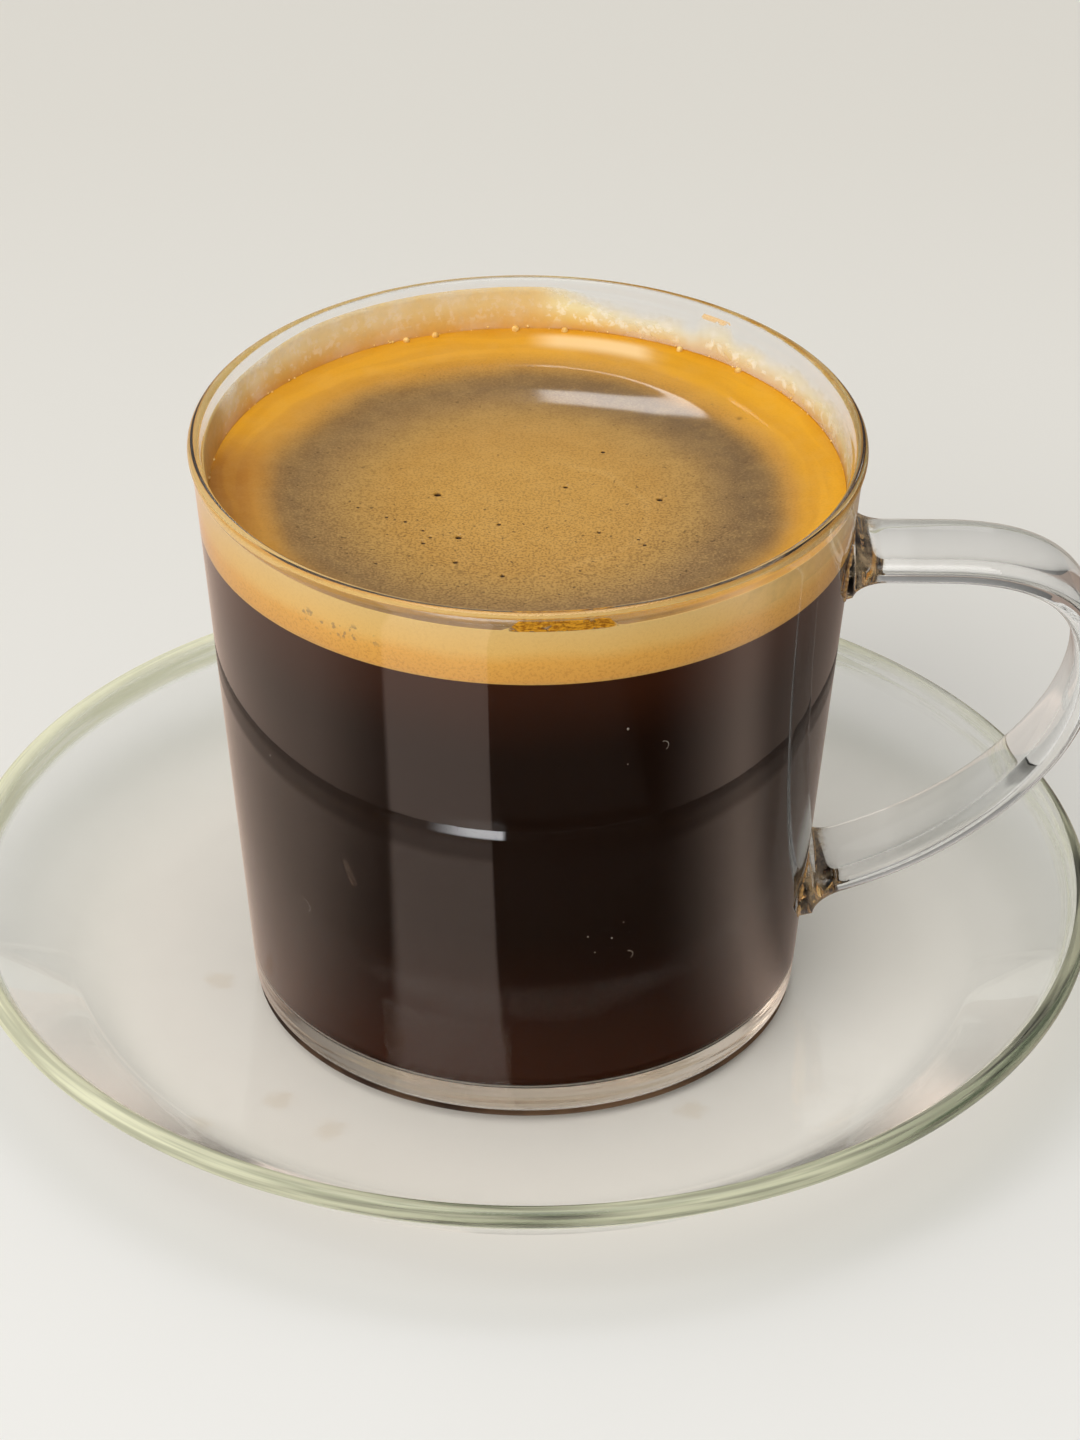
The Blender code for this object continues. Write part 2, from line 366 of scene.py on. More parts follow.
def table_finish():
    table = Finish("table_slab")
    x, y, _ = table.axes(table.place())
    far = (x * x + y * y) ** 0.5
    # painted reflection: a ray that bounced once off the cup sees a black slab with a painted glow
    mirrored = seen_in_glass(table, x, far)
    seen = table.blend(mirrored, slab_colour(table, x, y, far), BLACK)
    glow = table.blend(mirrored, BLACK, mirror_glow(table, x, y, far))
    table.set(Base_Color=seen, Roughness=0.55, Specular_IOR_Level=0.2,
              Emission_Strength=1.0, Emission_Color=glow)
    return table.material


def new_object(name, bm, material, crease=50):
    """Turn a bmesh into a smooth-shaded object at the origin."""
    mesh = bpy.data.meshes.new(name)
    bm.to_mesh(mesh)
    bm.free()
    mesh.materials.append(material)
    mesh.shade_smooth()
    mesh.set_sharp_from_angle(angle=math.radians(crease))
    obj = bpy.data.objects.new(name, mesh)
    bpy.context.scene.collection.objects.link(obj)
    return obj


def build_table():
    bm = bmesh.new()
    bmesh.ops.create_grid(bm, x_segments=8, y_segments=8, size=TABLE_SIZE)
    bmesh.ops.translate(bm, verts=bm.verts, vec=(0.0, 0.0, -TABLE_DROP))
    new_object("table", bm, table_finish())


build_table()

# %% Lights
LAMP_TARGET = Vector((0.0, 0.0, 50 * MM))


def aim(turn, rise, distance):
    """A point seen from the cup: turn from +Y towards +X and rise above level, in degrees."""
    turn = math.radians(turn)
    rise = math.radians(rise)
    flat = distance * math.cos(rise)
    return Vector((flat * math.sin(turn), flat * math.cos(turn), distance * math.sin(rise)))


def panel(name, place, size, radiance, colour=(1.0, 1.0, 1.0), glossy=True):
    """A soft rectangular light that faces the cup; radiance is its brightness when seen."""
    light = bpy.data.lights.new(name, "AREA")
    light.shape = "RECTANGLE"
    light.size, light.size_y = size
    light.energy = radiance * math.pi * size[0] * size[1]
    light.color = colour
    lamp = bpy.data.objects.new(name, light)
    facing = (place - LAMP_TARGET).to_track_quat("Z", "Y").to_matrix().to_4x4()
    lamp.matrix_world = Matrix.Translation(place) @ facing
    lamp.visible_camera = False
    lamp.visible_glossy = glossy
    bpy.context.scene.collection.objects.link(lamp)
    return lamp


panel("overhead_light", aim(180, 82, 1.5), (1.1, 1.1), 1.9, (1.0, 0.985, 0.955))
panel("front_left_window", aim(-145, 43, 2.0), (1.5, 0.9), 4.0, (1.0, 0.98, 0.95), False)
back_window = panel("back_window", aim(-2.0, 38.6, 2.2), (0.106, 0.096), 11.0)

# %% World
SKY_STOPS = ((0.0, (0.20, 0.196, 0.188)), (0.25, (0.30, 0.294, 0.282)), (1.0, (0.56, 0.55, 0.53)))
SKY_BACKDROP = (0.72, 0.70, 0.65)
SKY_LEAN = -0.7


def build_world():
    """A room that is dark near the floor, bright overhead and brighter on the left."""
    world = bpy.data.worlds.new("room")
    room = Net(world)
    x, _, z = room.axes(room.node("TexCoord", output="Generated"))
    lit = {0: room.ramp(SKY_STOPS, z), "Scale": x * SKY_LEAN + 1.0}
    leaned = room.node("VectorMath", {"operation": "SCALE"}, lit)
    seen = room.blend(room.ray("Is Camera Ray"), leaned, SKY_BACKDROP)
    room.lead(seen, "Background", "Color")
    bpy.context.scene.world = world


build_world()
scene = bpy.context.scene
scene.view_settings.view_transform = "Standard"
scene.cycles.max_bounces = 24
scene.cycles.transmission_bounces = 16
scene.cycles.glossy_bounces = 16
scene.cycles.diffuse_bounces = 3
scene.cycles.transparent_max_bounces = 16
scene.cycles.caustics_reflective = False
scene.cycles.caustics_refractive = False
scene.cycles.use_denoising = True
print("room ready")

# %% [markdown]
# ## Clear glass
# Both glass pieces share one recipe: full transmission, no roughness and the index of
# ordinary glass. Real light reaches the table through glass by bending, which a path
# tracer finds slowly, so rays for shadow and scattered light see a clear, slightly
# grey sheet instead. The glass is pressed and blown, so its skin has a slow ripple,
# kept very shallow, and level ridges at the cup's foot. It isn't spotless either: each
# piece has spots where dried coffee or weld residue covers the clear surface. The
# handle's glass is tinted a little grey, a painted shade. The saucer's rim gets a pale
# diffuse body in streaks, most on the left, as painted light for the light that runs
# along the glass. Where the cup mirrors the rim it gets a painted shade, a black layer,
# but for one short painted highlight that glows.
# %% Glass recipe
GLASS_INDEX = 1.5
RIPPLE = 0.02 * MM
RIPPLE_SCALE = 70.0
RIDGES_TOP = 7.4 * MM
WHITE = (1.0, 1.0, 1.0)
SMUDGE = (0.97, 0.97, 0.97)
HANDLE_PART = mm(44.5, 46.5)
RIM_PART = mm(66.6, 67.6)
# painted light: the pale body that the rim gets in streaks
RIM_LIGHT_BODY = (0.90, 0.90, 0.66)
STREAK_STRETCH = 2.2 * MM
# painted shade: a black layer on the rim where the cup mirrors it
MIRRORED_RIM_SHADE = 0.4
SPARK = (0.98, 0.98, 1.0)
SPARK_GLOW = 9.0
SPARK_STRETCH = ((-119.0, -103.0), (-95.0, -97.0))
SPARK_HEIGHT = mm(15.2, 15.35)
CRUST = (0.66, 0.50, 0.31)
CRUST_SHARE = 0.82


def near_spots(finish, point, spots, reach):
    """1 close to any of the spots, fading to 0 at the reach, with a ragged edge."""
    ragged = (finish.noise(point, 700.0, 3.0) - 0.5) * reach
    fars = [finish.distance(point, spot) + ragged for spot in spots]
    return finish.clamp(sum(finish.step(far, reach, 0.25 * reach) for far in fars))


def rim_carried_light(glass, x, y, z, radius):
    """Painted light on the saucer's rounded rim, a pale body for the light the glass carries: most at the
    left, and in streaks.
    """
    along = glass.point(glass.math("ARCTAN2", y, x) * STREAK_STRETCH, radius, z)
    streak = glass.step(glass.noise(along, 1500.0), 0.36, 0.62)
    left = glass.step(x, 20 * MM, -50 * MM)
    right = glass.window(x, mm(2, 15), mm(50, 34))
    amount = streak * 0.28 + left * 0.50 + right * 0.36 + 0.02
    return glass.step(radius, *RIM_PART) * amount * glass.step(glass.ray("Glossy Depth"), 0.9, 0.1)


def rim_spark(glass, x, y, z, radius):
    """1 on the short stretch of rim whose painted highlight the side of the cup mirrors; it glows there."""
    stretch = glass.window(glass.math("ARCTAN2", y, x) * math.degrees(1.0), *SPARK_STRETCH)
    line = stretch * glass.step(z, *SPARK_HEIGHT) * glass.step(radius, *RIM_PART)
    return line * glass.exactly(glass.ray("Glossy Depth"), 1.0)


def rim_layers(glass, x, y, z, radius):
    """The glass of the saucer's rim, with painted shade where the cup mirrors it, a painted highlight and
    painted light in its body.
    """
    mirrored = glass.step(radius, *RIM_PART) * glass.step(glass.ray("Glossy Depth"), 0.1, 0.9)
    # painted shade on the rim, seen only in the cup's mirror
    mirror_shaded = glass.layer(mirrored * MIRRORED_RIM_SHADE, glass.body, glass.plain("BsdfDiffuse", BLACK))
    spark = glass.plain("Emission", SPARK, Strength=SPARK_GLOW)
    sparked = glass.layer(rim_spark(glass, x, y, z, radius), mirror_shaded, spark)
    return glass.layer(rim_carried_light(glass, x, y, z, radius), sparked, glass.plain("BsdfDiffuse", RIM_LIGHT_BODY))


def glass_finish(name, shade, stains, reach, stain, handle_shade=WHITE, edge=None, ridges=0.0):
    """Clear glass; edge is (radius, shade) where the glass is thick enough to hold light back."""
    glass = Finish(name)
    point = glass.place()
    x, y, z = glass.axes(point)
    radius = (x * x + y * y) ** 0.5
    smudge = glass.step(glass.noise(point, 260.0, 3.0), 0.35, 0.75)
    # painted shade: the handle's part of the glass is tinted grey
    clean = glass.blend(glass.step(radius, *HANDLE_PART), WHITE, handle_shade)
    dirty = near_spots(glass, point, stains, reach)
    stained = glass.blend(dirty, glass.blend(smudge * 0.5, clean, SMUDGE), stain)
    glass.set(Base_Color=stained, Roughness=0.0, IOR=GLASS_INDEX, Transmission_Weight=1.0)
    foot = glass.step(z, RIDGES_TOP, RIDGES_TOP - 2 * MM)
    ridged = glass.noise(glass.point(z=z), 1500.0, 1.0) * foot * ridges
    glass.bump(glass.noise(point, RIPPLE_SCALE, 1.0) + ridged, RIPPLE)
    sheet = glass.plain("BsdfTransparent", shade)
    if edge:
        thick = glass.step(radius, edge[0] - MM, edge[0])
        sheet = glass.layer(thick, sheet, glass.plain("BsdfTransparent", edge[1]))
        solid = rim_layers(glass, x, y, z, radius)
    else:
        solid = glass.layer(dirty * CRUST_SHARE, glass.body, glass.plain("BsdfDiffuse", CRUST))
    straight = glass.math("MAXIMUM", glass.ray("Is Shadow Ray"), glass.ray("Is Diffuse Ray"))
    glass.lead(glass.layer(straight, solid, sheet), "Material Output", "Surface")
    return glass


# %% [markdown]
# ## The saucer
# A pressed dish: a flat well, a bend, a straight flange and a full-round rim. A lathe
# would turn it, and so does spin: half of its outline is drawn once and swept round the
# axis. The glass holds a little iron, so it looks green where light runs along it for
# a long way, at the rim. An absorbing volume does that by itself.
# %% Turning
ROUND_STEPS = 256


def arc(middle, radius, start, end, steps):
    """Points (r, z) round an arc; the angles are in degrees from +r towards +z."""
    points = []
    for step in range(steps + 1):
        angle = math.radians(start + (end - start) * step / steps)
        points.append((middle[0] + radius * math.cos(angle), middle[1] + radius * math.sin(angle)))
    return points


def turned_mesh(profile, closed=False, steps=ROUND_STEPS, start=0.0, sweep=math.tau):
    """Spin an outline of (r, z) points about the axis; a closed one makes a ring."""
    bm = bmesh.new()
    verts = [bm.verts.new((r * math.cos(start), r * math.sin(start), z)) for r, z in profile]
    pairs = list(zip(verts, verts[1:]))
    if closed:
        pairs.append((verts[-1], verts[0]))
    edges = [bm.edges.new(pair) for pair in pairs]
    full = abs(sweep - math.tau) < 1e-6
    bmesh.ops.spin(bm, geom=verts + edges, cent=(0, 0, 0), axis=(0, 0, 1),
                   angle=sweep, steps=steps, use_merge=full)
    bmesh.ops.remove_doubles(bm, verts=bm.verts, dist=1e-7)
    bmesh.ops.recalc_face_normals(bm, faces=bm.faces)
    return bm


def raised(profile, height):
    return [(r, z + height) for r, z in profile]


def spaced(first, last, steps):
    """Evenly spaced points between two, without the first and the last."""
    return [(first[0] + (last[0] - first[0]) * step / steps,
             first[1] + (last[1] - first[1]) * step / steps) for step in range(1, steps)]


def dress(obj, slot, *nodes):
    """The piece rides with the set and stands for its plain solids; the slot is not used."""
    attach(obj, BODY)
    if nodes:
        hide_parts(*nodes)
    print(obj.name, "has", sum(len(face.vertices) - 2 for face in obj.data.polygons), "triangles")
    return obj


# %% Saucer
SAUCER_THICKNESS = 2.6 * MM
SAUCER_RIM_RADIUS = SAUCER_REACH - SAUCER_THICKNESS / 2
SAUCER_RIM_HEIGHT = 14.2 * MM
SAUCER_SLOPE = math.radians(40)
SAUCER_BEND = 12.0 * MM
SAUCER_GREEN = (0.70, 0.80, 0.56)
SAUCER_GREENNESS = 14.0
SAUCER_SHADE = (1.0, 0.985, 0.97)
SAUCER_SMEARS = ((-38.4, -36.2), (-22.9, -36.0), (20.0, -31.5), (-37.4, -5.2), (-29.1, -30.0))
SAUCER_EDGE = (66.5 * MM, (0.66, 0.67, 0.62))
SMEAR_REACH = 2.6 * MM
SMEAR_COLOUR = (0.90, 0.84, 0.76)


def saucer_side(side):
    """The saucer's middle line offset to one side (+1 above, -1 below), from well to rim."""
    offset = side * SAUCER_THICKNESS / 2
    slope = math.degrees(SAUCER_SLOPE)
    middle = SAUCER_THICKNESS / 2
    rise = SAUCER_RIM_HEIGHT - middle - SAUCER_BEND * (1 - math.cos(SAUCER_SLOPE))
    well = SAUCER_RIM_RADIUS - rise / math.tan(SAUCER_SLOPE) - SAUCER_BEND * math.sin(SAUCER_SLOPE)
    bend = arc((well, middle + SAUCER_BEND), SAUCER_BEND - offset, -90, -90 + slope, 16)
    end = (SAUCER_RIM_RADIUS - offset * math.sin(SAUCER_SLOPE),
           SAUCER_RIM_HEIGHT + offset * math.cos(SAUCER_SLOPE))
    return spaced((0.0, middle + offset), bend[0], 6) + bend + spaced(bend[-1], end, 8) + [end]


def build_saucer():
    slope = math.degrees(SAUCER_SLOPE)
    rim = arc((SAUCER_RIM_RADIUS, SAUCER_RIM_HEIGHT), SAUCER_THICKNESS / 2, slope - 90, slope + 90, 20)
    outline = [(0.0, 0.0)] + saucer_side(-1)[:-1] + rim + saucer_side(1)[-2::-1] + [(0.0, SAUCER_THICKNESS)]
    smears = [Vector((x * MM, y * MM, SAUCER_THICKNESS)) for x, y in SAUCER_SMEARS]
    glass = glass_finish("saucer_glass", SAUCER_SHADE, smears, SMEAR_REACH, SMEAR_COLOUR, edge=SAUCER_EDGE)
    depth = glass.plain("VolumeAbsorption", SAUCER_GREEN, Density=SAUCER_GREENNESS)
    glass.lead(depth, "Material Output", "Volume")
    return dress(new_object("saucer_dish", turned_mesh(outline), glass.material), "saucer_glass", "saucer")


build_saucer()

# %% [markdown]
# ## The cup
# The wall is only one and a half millimetres thick and leans out by five degrees, with
# a heavier floor and a small rolled lip. It is turned like the saucer. The handle is a
# flat strap drawn from a glass rod and welded on hot, so its two roots spread into the
# wall. It is swept ring by ring along its middle line, and one exact Boolean joins it
# to the wall, because a join left inside glass would show as a bright skin.
# %% Cup outline
CUP_HEIGHT = CUP_TOP - CUP_FOOT
CUP_RIM_RADIUS = 40.0 * MM
LIP_FLARE = 0.37 * MM
LIP_DEPTH = 4.0 * MM
CUP_FOOT_RADIUS = 33.25 * MM
CUP_CORNER = 1.5 * MM
CUP_WALL = 1.5 * MM
CUP_FLOOR = 2.8 * MM
CUP_INNER_CORNER = 3.0 * MM
LIP_MIDDLE = CUP_HEIGHT - LIP_ROUND
WALL_TOP = LIP_MIDDLE - LIP_DEPTH
WALL_TAPER = (CUP_RIM_RADIUS - 2 * LIP_FLARE - CUP_FOOT_RADIUS) / (WALL_TOP - CUP_CORNER)
WALL_LEAN = math.degrees(math.atan(WALL_TAPER))


def flare(height):
    share = max(0.0, (height - WALL_TOP) / LIP_DEPTH)
    return LIP_FLARE * share * share


def outer_radius(height):
    """Outside of the wall at a height above the cup's foot, its flaring lip included."""
    return CUP_FOOT_RADIUS + WALL_TAPER * (height - CUP_CORNER) + flare(height)


def inner_radius(height):
    return outer_radius(height) - CUP_WALL / math.cos(math.radians(WALL_LEAN))


def wall_line(radius, low, high, steps):
    heights = [low + (high - low) * step / steps for step in range(steps + 1)]
    return [(radius(height), height) for height in heights]


def inner_corner(inset, steps=14):
    """The rounded corner inside the cup, or the liquid's, inset from the glass."""
    height = CUP_FLOOR + CUP_INNER_CORNER
    centre = (inner_radius(height) - CUP_INNER_CORNER, height)
    return arc(centre, CUP_INNER_CORNER - inset, -WALL_LEAN, -90, steps)


def cup_outline():
    lip_start = WALL_TOP + 0.75 * LIP_DEPTH
    lip = arc((CUP_RIM_RADIUS - LIP_ROUND, LIP_MIDDLE), LIP_ROUND, 0, 180, 20)
    corner = arc((CUP_FOOT_RADIUS - CUP_CORNER, CUP_CORNER), CUP_CORNER, -90, -WALL_LEAN, 10)
    inside = inner_corner(0.0)
    foot = spaced((0.0, 0.0), corner[0], 4)
    outer = wall_line(outer_radius, CUP_CORNER, WALL_TOP, 26)[1:]
    outer += wall_line(outer_radius, WALL_TOP, lip_start, 6)[1:]
    inner = wall_line(inner_radius, lip_start, WALL_TOP, 6)
    inner += wall_line(inner_radius, WALL_TOP, inside[0][1], 20)[1:-1]
    floor = spaced(inside[-1], (0.0, CUP_FLOOR), 4)
    return [(0.0, 0.0)] + foot + corner + outer + lip + inner + inside + floor + [(0.0, CUP_FLOOR)]


# %% Handle
HANDLE_WIDTH = 12.4 * MM
HANDLE_THICKNESS = 3.4 * MM
HANDLE_FULLNESS = 3.0
HANDLE_SIDES = 64
HANDLE_TOP = 59.0 * MM
HANDLE_BEND_START = 49.2 * MM
HANDLE_REACH = 67.0 * MM
HANDLE_REACH_HEIGHT = 45.5 * MM
HANDLE_ROOT_HEIGHT = 13.8 * MM
HANDLE_ROOT_SLOPE = math.radians(15)
HANDLE_PULLS = (0.73, 0.67, 0.26, 0.43)
HANDLE_FLARE = 2.2 * MM
HANDLE_FLARE_LENGTH = 4.2 * MM
HANDLE_RINGS = 200
LINE_POINTS = 120


def strap_line():
    """Middle line of the handle in the XZ plane, from the top root to the lower one."""
    turn_pull, drop_pull, fall_pull, root_pull = HANDLE_PULLS
    top_root = Vector((outer_radius(HANDLE_TOP), HANDLE_TOP))
    turn = Vector((HANDLE_BEND_START, HANDLE_TOP))
    reach = Vector((HANDLE_REACH, HANDLE_REACH_HEIGHT))
    low_root = Vector((outer_radius(HANDLE_ROOT_HEIGHT), HANDLE_ROOT_HEIGHT))
    chord = (reach - low_root).length
    out = Vector((turn_pull * (HANDLE_REACH - HANDLE_BEND_START), 0.0))
    drop = Vector((0.0, drop_pull * (HANDLE_TOP - HANDLE_REACH_HEIGHT)))
    fall = Vector((0.0, fall_pull * chord))
    rise = root_pull * chord * Vector((math.cos(HANDLE_ROOT_SLOPE), math.sin(HANDLE_ROOT_SLOPE)))
    arm = [top_root.lerp(turn, step / LINE_POINTS) for step in range(LINE_POINTS)]
    upper = interpolate_bezier(turn, turn + out, reach + drop, reach, 3 * LINE_POINTS)
    lower = interpolate_bezier(reach, reach - fall, low_root + rise, low_root, 5 * LINE_POINTS)
    return [Vector(point) for point in arm + upper[:-1] + lower]


def strap_stations(line):
    """Places along the line: (middle, tangent, distance from the nearer root)."""
    lengths = [0.0]
    for near, far in zip(line, line[1:]):
        lengths.append(lengths[-1] + (far - near).length)
    total = lengths[-1]
    root = [HANDLE_FLARE_LENGTH * (step / 12) ** 1.5 for step in range(13)]
    free = total - 2 * HANDLE_FLARE_LENGTH
    middle = [HANDLE_FLARE_LENGTH + free * step / HANDLE_RINGS for step in range(1, HANDLE_RINGS)]
    stations = []
    index = 0
    for wanted in root + middle + [total - distance for distance in root[::-1]]:
        while index < len(line) - 2 and lengths[index + 1] < wanted:
            index += 1
        share = min(1.0, (wanted - lengths[index]) / (lengths[index + 1] - lengths[index]))
        before = line[max(index - 1, 0)]
        after = line[min(index + 2, len(line) - 1)]
        spot = line[index].lerp(line[index + 1], share)
        stations.append((spot, (after - before).normalized(), min(wanted, total - wanted)))
    return stations


def rounded(share):
    """A sine or cosine eased to the handle's fullness, with its sign kept."""
    return math.copysign(abs(share) ** (2 / HANDLE_FULLNESS), share)


def strap_section(spread):
    """Points (u, v) round the strap, a superellipse: u across its width, v through it."""
    points = []
    for side in range(HANDLE_SIDES):
        angle = math.tau * (side + 0.5) / HANDLE_SIDES
        points.append(((HANDLE_WIDTH / 2 + spread) * rounded(math.cos(angle)),
                       (HANDLE_THICKNESS / 2 + spread) * rounded(math.sin(angle))))
    return points


def strap_ring(bm, station, in_wall):
    """One ring of vertices; a ring in the wall lies on a cone half-way through it."""
    middle, tangent, distance = station
    share = max(0.0, 1.0 - distance / HANDLE_FLARE_LENGTH)
    spread = HANDLE_FLARE * (1.0 - math.sqrt(1.0 - share * share))
    normal = Vector((-tangent.y, tangent.x))
    ring = []
    for across, through in strap_section(spread):
        spot = middle + normal * through
        x = spot.x
        if in_wall:
            cone = outer_radius(spot.y) - CUP_WALL / 2
            x = math.sqrt(cone * cone - across * across)
        ring.append(bm.verts.new((x, across, spot.y + CUP_FOOT)))
    return ring


def handle_mesh():
    bm = bmesh.new()
    stations = strap_stations(strap_line())
    last = len(stations) - 1
    rings = [strap_ring(bm, station, index in (0, last)) for index, station in enumerate(stations)]
    loops = [[bm.edges.new(pair) for pair in zip(ring, ring[1:] + ring[:1])] for ring in rings]
    for near, far in zip(loops, loops[1:]):
        bmesh.ops.bridge_loops(bm, edges=near + far)
    for ring in (rings[0], rings[last]):
        count = len(ring)
        for index in range(count // 2 - 1):
            mirrored = count - 1 - index
            bm.faces.new((ring[index], ring[index + 1], ring[mirrored - 1], ring[mirrored]))
    bmesh.ops.recalc_face_normals(bm, faces=bm.faces)
    return bm


# %% Cup and handle in one piece of glass
CUP_SHADE = (0.97, 0.97, 0.96)
CUP_RIDGES = 3.0
# painted shade: the handle's glass is tinted a little grey to darken it
HANDLE_SHADE_TINT = (0.93, 0.93, 0.925)
WELD_STAIN_OUT = 4.5 * MM
WELD_STAIN_REACH = 3.6 * MM
WELD_STAIN_COLOUR = (0.86, 0.68, 0.42)


def weld(first, second):
    """Weld the second mesh to the first with an exact union, and drop the second."""
    union = first.modifiers.new("weld", "BOOLEAN")
    union.operation = "UNION"
    union.solver = "EXACT"
    union.object = second
    graph = bpy.context.evaluated_depsgraph_get()
    mesh = bpy.data.meshes.new_from_object(first.evaluated_get(graph))
    first.modifiers.clear()
    first.data = mesh
    bpy.data.objects.remove(second, do_unlink=True)


def build_cup():
    welds = [Vector((outer_radius(height), side * WELD_STAIN_OUT, height + CUP_FOOT))
             for height in (HANDLE_TOP, HANDLE_ROOT_HEIGHT) for side in (-1, 0, 1)]
    glass = glass_finish("cup_glass", CUP_SHADE, welds, WELD_STAIN_REACH, WELD_STAIN_COLOUR,
                         handle_shade=HANDLE_SHADE_TINT, ridges=CUP_RIDGES)
    cup = new_object("cup_and_handle", turned_mesh(raised(cup_outline(), CUP_FOOT)), glass.material)
    handle = new_object("handle", handle_mesh(), glass.material)
    weld(cup, handle)
    cup.data.shade_smooth()
    cup.data.set_sharp_from_angle(angle=math.radians(40))
    return dress(cup, "cup_glass", "cup_glass")


build_cup()

# %% [markdown]
# ## The coffee
# Black coffee is so dark that only its skin matters. It fills the cup to the foam, and
# its outline is set a hair into the glass, because a gap of air there would mirror the
# room. It wets the wall, so its only gloss is that of glass against water: almost none
# seen straight on, and a perfect mirror at a low angle, where light can't leave the
# glass. A Fresnel node with the ratio of the two indices does this, and it lights up
# the thick glass under the coffee. Near the foam and at the foot the layer is thin and
# a warmer brown shows.
# %% Coffee
WETTING = 0.10 * MM
COFFEE_INDEX = 1.333
MIRROR_TINT = (1.0, 0.96, 0.91)
WARM_FOOT = mm(34, 8)
WARM_TOP = mm(58, 72)
CREMA_BOTTOM = 63.8 * MM


def coffee_finish():
    coffee = Finish("black_coffee")
    point = coffee.place()
    cloud = coffee.noise(point, 40.0, 3.0)
    height = coffee.axes(point)[2] + cloud * 6 * MM
    warm = coffee.step(height, *WARM_FOOT) * 0.8 + coffee.step(height, *WARM_TOP)
    colour = coffee.blend(warm, paint(27, 15, 9), paint(58, 29, 16))
    coffee.set(Base_Color=colour, Roughness=0.35, Specular_IOR_Level=0.0)
    mirror = coffee.node("Fresnel", None, {"IOR": COFFEE_INDEX / GLASS_INDEX})
    gloss = coffee.plain("BsdfGlossy", MIRROR_TINT, Roughness=0.05)
    coffee.lead(coffee.layer(mirror, coffee.body, gloss), "Material Output", "Surface")
    return coffee.material


def build_coffee():
    inside = inner_corner(-WETTING)[::-1]
    side = wall_line(lambda h: inner_radius(h) + WETTING, inside[-1][1], CREMA_BOTTOM, 12)[1:]
    outline = [(0.0, CUP_FLOOR - WETTING)] + inside + side + [(0.0, CREMA_BOTTOM)]
    coffee = new_object("black_coffee", turned_mesh(raised(outline, CUP_FOOT)), coffee_finish())
    return dress(coffee, "coffee", "coffee")


build_coffee()

# %% Painted contact shade under the foot
def build_contact_shade_ring():
    """Painted shade: a thin dark brown ring in the gap between the cup's foot and the saucer, where the
    contact shadow falls.
    """
    low = SAUCER_THICKNESS + 0.02 * MM
    high = CUP_FOOT - 0.02 * MM
    flat = CUP_FOOT_RADIUS - CUP_CORNER
    section = [(flat - 0.5 * MM, low), (flat + 1.15 * MM, low), (flat + 0.9 * MM, low + 0.2 * MM),
               (flat + 0.3 * MM, high), (flat - 0.5 * MM, high)]
    ring = turned_mesh(section, closed=True)
    # painted shade: the ring is coloured dark brown in patches
    dried = Finish("painted_contact_shade")
    point = dried.place()
    patchy = dried.step(dried.noise(point, 90.0, 3.0), 0.35, 0.65)
    dried.set(Base_Color=dried.blend(patchy, paint(46, 30, 20), paint(104, 78, 56)),
              Roughness=0.5, Specular_IOR_Level=0.3)
    return dress(new_object("contact_shade_ring", ring, dried.material), "coffee")


build_contact_shade_ring()

# %% [markdown]
# ## The crema
# The foam of an espresso, poured over the coffee: fine bubbles, golden in the middle,
# a greyer ring round that, and a deep gold band that climbs the wall. It is nearly
# flat, with a slow rise towards the rim and a small curl where it clings to the glass.
# The disc is turned with many rings, and then each pinhole, where a bubble has burst,
# gets its own finer patch of faces and is pushed in as a true dent. Its skin is wet, so
# the small window behind shines in it. That lamp reaches the crema alone, because the
# glass in front would show it as hard spots.
# %% Crema relief
CREMA_TOP = 67.2 * MM
CREMA_SINK = 0.67 * MM
CREMA_CURL = 0.50 * MM
CREMA_CURL_REACH = 5.0 * MM
CREMA_EDGE = inner_radius(CREMA_TOP + 0.7 * MM) + WETTING
SLOPE_TOP = math.radians(5.8)
SLOPE_START = 14.7 * MM
SLOPE_FULL = 27.4 * MM
SHOULDER_START = 28.0 * MM
SHOULDER_END = 30.5 * MM
WALL_SLOPE = math.radians(2.15)
WALL_START = 32.2 * MM
WALL_FULL = 33.3 * MM
WALL_FADE = 2.9 * MM
RIGHT_START = 4.0 * MM
RIGHT_REACH = 22.0 * MM
RIGHT_FLATTER = 0.45
RELIEF_STEPS = 320
RELIEF_REACH = 40.0 * MM
ZONE_MIDDLE = mm(-0.5, -2.2)
PINHOLES = (
    (-10.6, -0.3, 0.42), (-19.9, -3.7, 0.20), (-16.5, -5.7, 0.20), (-14.3, -6.6, 0.22),
    (-12.2, -8.6, 0.20), (-11.3, -10.2, 0.22), (-12.1, -11.5, 0.26), (-8.0, -10.1, 0.38),
    (-8.3, -15.8, 0.30), (-17.5, -16.8, 0.22), (-2.8, -18.8, 0.30), (-3.3, -7.1, 0.26),
    (15.6, -1.1, 0.36), (9.0, 9.9, 0.26), (4.5, 1.6, 0.28), (13.7, -11.6, 0.24),
    (13.0, -10.3, 0.20), (8.4, -8.8, 0.24),
)


def eased(value, low, high):
    """0 at low, 1 at high, and smooth between."""
    share = min(max((value - low) / (high - low), 0.0), 1.0)
    return share * share * (3 - 2 * share)


